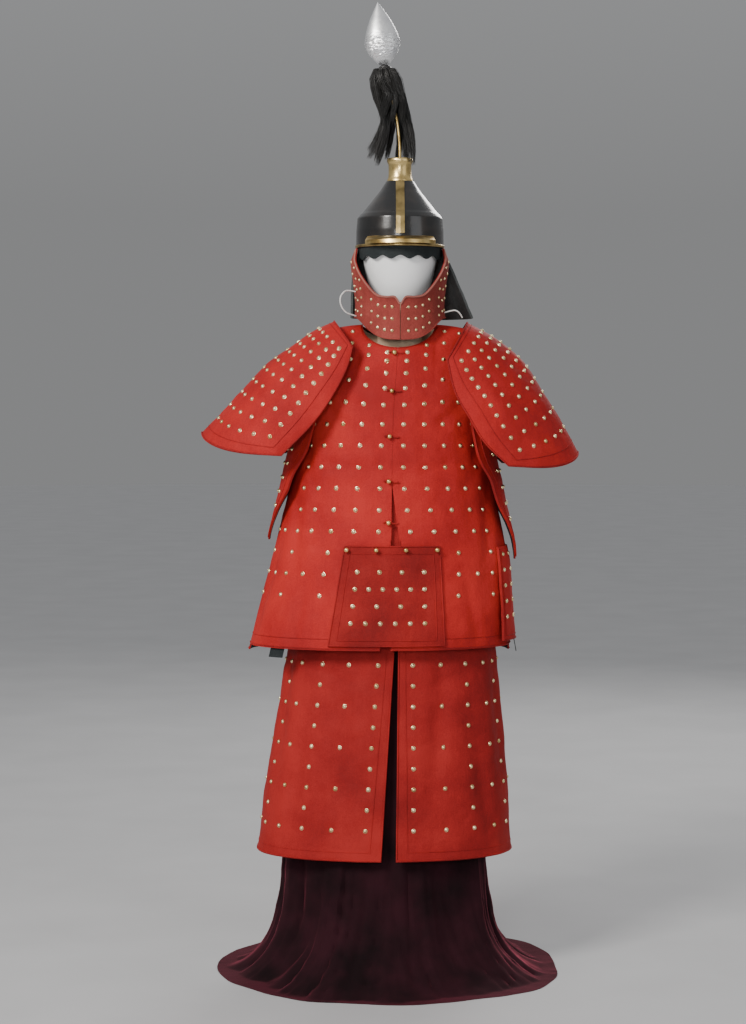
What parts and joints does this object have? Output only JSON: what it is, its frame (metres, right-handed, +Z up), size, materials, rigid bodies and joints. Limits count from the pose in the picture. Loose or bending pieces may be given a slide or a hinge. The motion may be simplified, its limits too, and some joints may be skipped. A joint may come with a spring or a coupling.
{
  "type": "manchu banner armour on a velvet-covered stand",
  "caption": "Studded red padded-cotton armour with shoulder and armpit guards, split skirt and black plumed helmet, shown on a limbless dress form with a head block and a velvet-covered stand.",
  "frame": {"origin": "on the floor, under the middle of the part's bounding box", "axes": "+Z up, front towards -Y, wearer's right towards -X"},
  "size_m": [0.846, 0.7019, 2.1627],
  "materials": {
    "red_cloth": "padded cotton satin, scarlet, soft sheen",
    "rust_cloth": "faded rust-red padded cotton",
    "velvet": "dark purple-brown velvet pile",
    "form_linen": "beige linen over the form",
    "head_white": "smooth white",
    "lacquer": "black gloss lacquer",
    "lining": "dark grey-green cotton",
    "brass": "gilt brass, softly polished",
    "hair": "black hair",
    "silver": "bright silvery white",
    "stand_steel": "black painted steel",
    "white_cord": "white cotton cord"
  },
  "bodies": {
    "root": {"stand_base": "stand_steel", "stand_post": "stand_steel", "dress_form": "form_linen", "head_block": "head_white", "stand_drape": "velvet", "jacket_front_right": "red_cloth", "jacket_front_left": "red_cloth", "jacket_back": "red_cloth", "front_flap": "red_cloth", "side_flap": "red_cloth", "side_flap_tie_1": "lining", "side_flap_tie_2": "lining", "shoulder_guard_right": "red_cloth", "shoulder_guard_left": "red_cloth", "armpit_guard_right": "red_cloth", "armpit_guard_left": "red_cloth", "skirt_right": "red_cloth", "skirt_left": "red_cloth", "ear_guard_right": "rust_cloth", "ear_guard_left": "rust_cloth", "nape_guard": "rust_cloth", "tie_cord_right": "white_cord", "tie_cord_left": "white_cord", "helmet_skull": "lacquer", "helmet_lining": "lining", "helmet_strip_front": "brass", "helmet_strip_back": "brass", "helmet_visor": "brass", "helmet_collar": "brass", "plume_rod": "brass", "plume": "hair", "finial": "silver", "jacket_button_1": "brass", "jacket_button_2": "brass", "jacket_button_3": "brass", "jacket_button_4": "brass", "jacket_button_5": "brass", "flap_button_1": "brass", "flap_button_2": "brass", "flap_button_3": "brass", "flap_button_4": "brass"}
  },
  "joints": []
}
